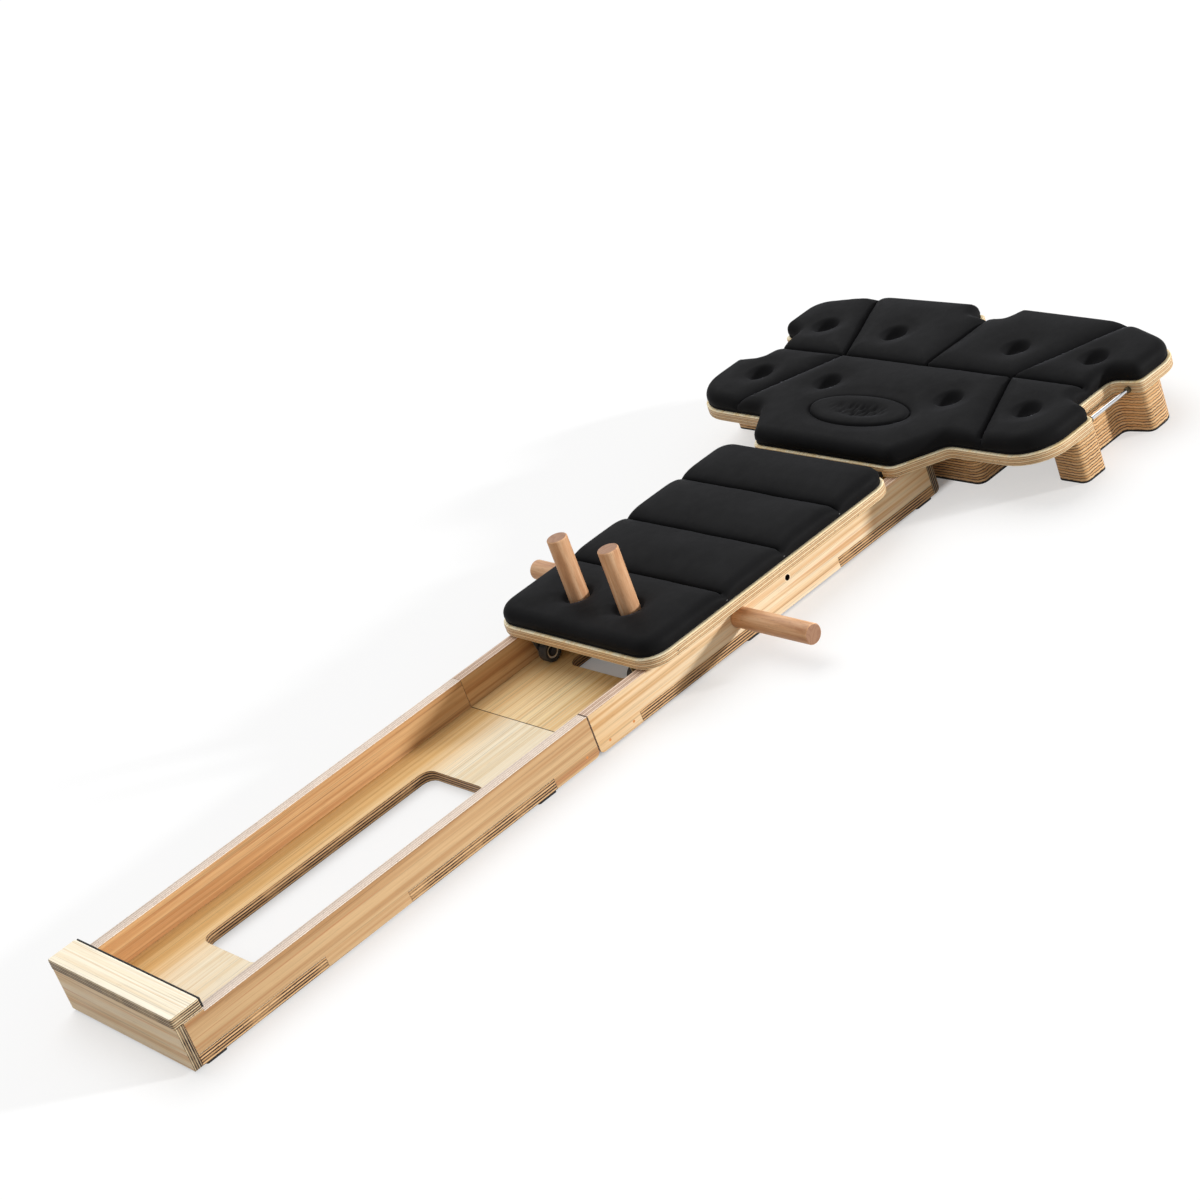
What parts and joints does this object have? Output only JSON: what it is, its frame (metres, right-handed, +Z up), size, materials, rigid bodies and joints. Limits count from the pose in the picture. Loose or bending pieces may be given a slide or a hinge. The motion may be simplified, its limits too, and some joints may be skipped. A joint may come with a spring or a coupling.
{
  "type": "pilates board",
  "caption": "Folding plywood sliding board with a padded carriage on wheels, pull-out wooden hand pegs and a padded wing-shaped board on wooden blocks.",
  "frame": {"origin": "On the ground below the middle of the whole board's length and width.", "axes": "+X runs along the track towards the wing board, +Y is the left side seen from the front end, +Z is up."},
  "size_m": [1.6406, 0.6838, 0.1855],
  "materials": {
    "ply_wall": "oiled plywood, fine grain along the track",
    "ply_floor": "pale oiled plywood",
    "ply_cap": "pale oiled plywood with dark glue lines on its edges",
    "ply_board": "plywood with pale veneer and layered edges",
    "ply_block": "thick plywood block with layers showing all round",
    "beech_peg": "turned beech, smooth",
    "pad_fabric": "matt black padded fabric",
    "black_rubber": "matt rubber",
    "tyre_rubber": "dark grey tread",
    "hub_plastic": "pale moulded plastic",
    "bracket_steel": "plated sheet steel",
    "axle_steel": "black bolt",
    "socket_plastic": "black moulded plastic",
    "hinge_steel": "plated steel",
    "rod_chrome": "polished round bar"
  },
  "bodies": {
    "back_section": {"floor_back": "ply_floor", "wall_back_left": "ply_wall", "wall_back_right": "ply_wall", "end_board_back": "ply_wall", "hinge_leaf_back_left": "hinge_steel", "hinge_leaf_back_right": "hinge_steel", "hinge_pin_left": "hinge_steel", "hinge_pin_right": "hinge_steel", "foot_back_seam_left": "black_rubber", "foot_back_seam_right": "black_rubber", "foot_back_end_left": "black_rubber", "foot_back_end_right": "black_rubber"},
    "front_section": {"floor_front": "ply_floor", "wall_front_left": "ply_wall", "wall_front_right": "ply_wall", "end_board_front": "ply_wall", "end_cap": "ply_cap", "bumper_front": "black_rubber", "hinge_leaf_front_left": "hinge_steel", "hinge_leaf_front_right": "hinge_steel", "foot_front_seam_left": "black_rubber", "foot_front_seam_right": "black_rubber", "foot_front_end_left": "black_rubber", "foot_front_end_right": "black_rubber"},
    "carriage": {"carriage_board": "ply_board", "carriage_pad": "pad_fabric", "peg_socket_left": "socket_plastic", "peg_socket_right": "socket_plastic", "bracket_front_left": "bracket_steel", "bracket_front_right": "bracket_steel", "bracket_back_left": "bracket_steel", "bracket_back_right": "bracket_steel", "axle_front_left": "axle_steel", "axle_front_right": "axle_steel", "axle_back_left": "axle_steel", "axle_back_right": "axle_steel"},
    "wing": {"wing_board": "ply_board", "wing_pad": "pad_fabric", "bumper_neck": "black_rubber", "leg_left": "ply_block", "leg_right": "ply_block", "leg_left_sole": "black_rubber", "leg_right_sole": "black_rubber", "neck_block": "ply_block", "neck_block_sole": "black_rubber", "notch_rod_left": "rod_chrome", "notch_rod_right": "rod_chrome"},
    "wheel_front_left": {"tyre_front_left": "tyre_rubber", "wheel_hub_front_left": "hub_plastic"},
    "wheel_front_right": {"tyre_front_right": "tyre_rubber", "wheel_hub_front_right": "hub_plastic"},
    "wheel_back_left": {"tyre_back_left": "tyre_rubber", "wheel_hub_back_left": "hub_plastic"},
    "wheel_back_right": {"tyre_back_right": "tyre_rubber", "wheel_hub_back_right": "hub_plastic"},
    "peg_upright_left": {"peg_upright_left": "beech_peg"},
    "peg_upright_right": {"peg_upright_right": "beech_peg"},
    "peg_side_left": {"peg_side_left": "beech_peg"},
    "peg_side_right": {"peg_side_right": "beech_peg"}
  },
  "joints": [
    {"name": "fold", "type": "hinge", "parent": "back_section", "child": "front_section", "pos_m": [-0.1666, 0, 0.00285], "axis": [0, -1, 0], "range_deg": [0, 177]},
    {"name": "carriage_slide", "type": "slide", "parent": "back_section", "child": "carriage", "axis": [1, 0, 0], "range_m": [-0.7095, 0.0198]},
    {"name": "wheel_front_left_roll", "type": "hinge", "parent": "carriage", "child": "wheel_front_left", "pos_m": [-0.0416, 0.0895, 0.0333], "axis": [0, 1, 0], "range_deg": [-2711, 76]},
    {"name": "wheel_front_right_roll", "type": "hinge", "parent": "carriage", "child": "wheel_front_right", "pos_m": [-0.0416, -0.0895, 0.0333], "axis": [0, 1, 0], "range_deg": [-2711, 76]},
    {"name": "wheel_back_left_roll", "type": "hinge", "parent": "carriage", "child": "wheel_back_left", "pos_m": [0.3704, 0.0895, 0.0333], "axis": [0, 1, 0], "range_deg": [-2711, 76]},
    {"name": "wheel_back_right_roll", "type": "hinge", "parent": "carriage", "child": "wheel_back_right", "pos_m": [0.3704, -0.0895, 0.0333], "axis": [0, 1, 0], "range_deg": [-2711, 76]},
    {"name": "peg_upright_left_pull", "type": "slide", "parent": "carriage", "child": "peg_upright_left", "axis": [0, 0, 1], "range_m": [0, 0.07]},
    {"name": "peg_side_left_pull", "type": "slide", "parent": "back_section", "child": "peg_side_left", "axis": [0, 1, 0], "range_m": [0, 0.03]},
    {"name": "peg_upright_right_pull", "type": "slide", "parent": "carriage", "child": "peg_upright_right", "axis": [0, 0, 1], "range_m": [0, 0.07]},
    {"name": "peg_side_right_pull", "type": "slide", "parent": "back_section", "child": "peg_side_right", "axis": [0, -1, 0], "range_m": [0, 0.03]},
    {"name": "wing_lift", "type": "slide", "parent": "back_section", "child": "wing", "axis": [0, 0, 1], "range_m": [0, 0.1]}
  ],
  "couplings": [
    {"joint": "wheel_front_left_roll", "follows": "carriage_slide", "rad_per_m": 66.667},
    {"joint": "wheel_front_right_roll", "follows": "carriage_slide", "rad_per_m": 66.667},
    {"joint": "wheel_back_left_roll", "follows": "carriage_slide", "rad_per_m": 66.667},
    {"joint": "wheel_back_right_roll", "follows": "carriage_slide", "rad_per_m": 66.667}
  ]
}
